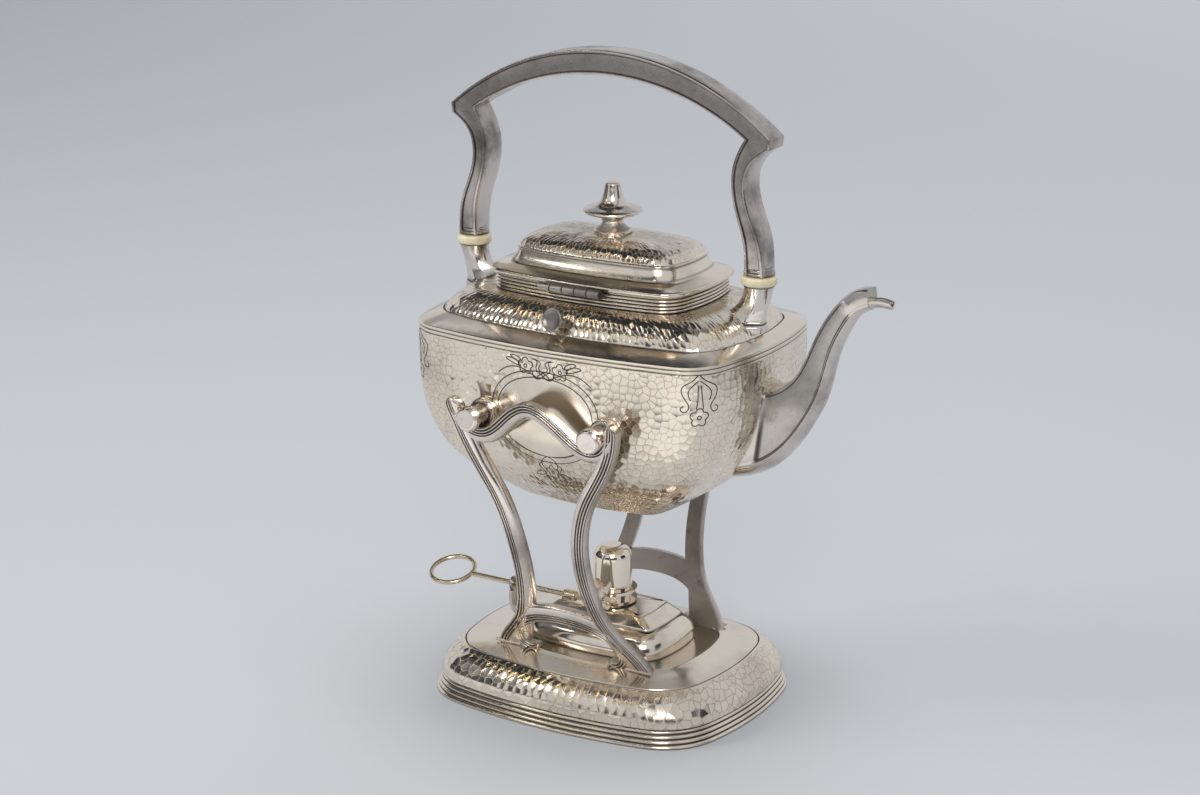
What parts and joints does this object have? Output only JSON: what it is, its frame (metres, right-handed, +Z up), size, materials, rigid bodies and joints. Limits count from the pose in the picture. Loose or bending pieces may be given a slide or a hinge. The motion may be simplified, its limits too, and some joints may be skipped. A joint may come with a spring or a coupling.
{
  "type": "tilting spirit kettle on stand",
  "caption": "Hammered silver-plated tilting tea kettle with swan-neck spout and bail handle, on a leaning two-frame stand with a spirit lamp and snuffer.",
  "frame": {"origin": "centre of the base on the surface that it stands on", "axes": "+X towards the kettle's spout, +Z up; the lid's hinge is on the -Y side"},
  "size_m": [0.2535, 0.1628, 0.331],
  "materials": {
    "silver_plate": "silver plate on brass, hammered or polished, tarnished brown in the recesses",
    "bone": "satin ivory-coloured bone",
    "wick_cotton": "braided cotton",
    "gilt_rod": "worn plate, warm brass tone",
    "brass_fittings": "plain brass"
  },
  "bodies": {
    "stand": {"base_rim": "silver_plate", "base_shell": "silver_plate", "front_frame": "silver_plate", "back_frame": "silver_plate"},
    "pivot_pins": {"pivot_pin_spout_front": "silver_plate", "pivot_pin_spout_back": "silver_plate"},
    "kettle": {"kettle_body": "silver_plate", "kettle_shoulder": "silver_plate", "kettle_neck": "silver_plate", "spout": "silver_plate", "pivot_boss_spout_front": "silver_plate", "pivot_boss_spout_back": "silver_plate", "pivot_boss_rear_front": "silver_plate", "pivot_boss_rear_back": "silver_plate", "pivot_pin_rear_front": "silver_plate", "pivot_pin_rear_back": "silver_plate", "hinge_neck_leaf": "silver_plate", "hinge_pin": "silver_plate", "lid_rest": "silver_plate", "handle": "silver_plate", "insulator_spout": "bone", "insulator_rear": "bone", "handle_stud_spout": "brass_fittings", "handle_stud_rear": "brass_fittings", "handle_socket_spout": "silver_plate", "handle_socket_rear": "silver_plate"},
    "lid": {"lid": "silver_plate", "lid_bezel": "silver_plate", "lid_finial": "silver_plate", "finial_nut": "brass_fittings", "hinge_lid_leaf": "silver_plate"},
    "lamp": {"lamp_pan": "silver_plate", "lamp_cover": "silver_plate", "burner_collar": "silver_plate", "wick_tube": "brass_fittings", "wick": "wick_cotton", "rod_guide": "silver_plate"},
    "snuffer": {"snuffer_cap": "silver_plate", "snuffer_lug": "silver_plate", "snuffer_rod": "gilt_rod"}
  },
  "joints": [
    {"name": "kettle_lift", "type": "slide", "parent": "stand", "child": "pivot_pins", "axis": [0, 0, 1], "range_m": [0, 0.09]},
    {"name": "kettle_tip", "type": "hinge", "parent": "pivot_pins", "child": "kettle", "pos_m": [0.0342, 0, 0.1591], "axis": [0, 1, 0], "range_deg": [0, 50]},
    {"name": "lid_hinge", "type": "hinge", "parent": "kettle", "child": "lid", "pos_m": [0, -0.0406, 0.2194], "axis": [1, 0, 0], "range_deg": [0, 150]},
    {"name": "lamp_lift", "type": "slide", "parent": "stand", "child": "lamp", "axis": [0, 0, 1], "range_m": [0, 0.02]},
    {"name": "snuffer_swing", "type": "hinge", "parent": "lamp", "child": "snuffer", "pos_m": [0, -0.0154, 0.0506], "axis": [1, 0, 0], "range_deg": [0, 80]}
  ]
}
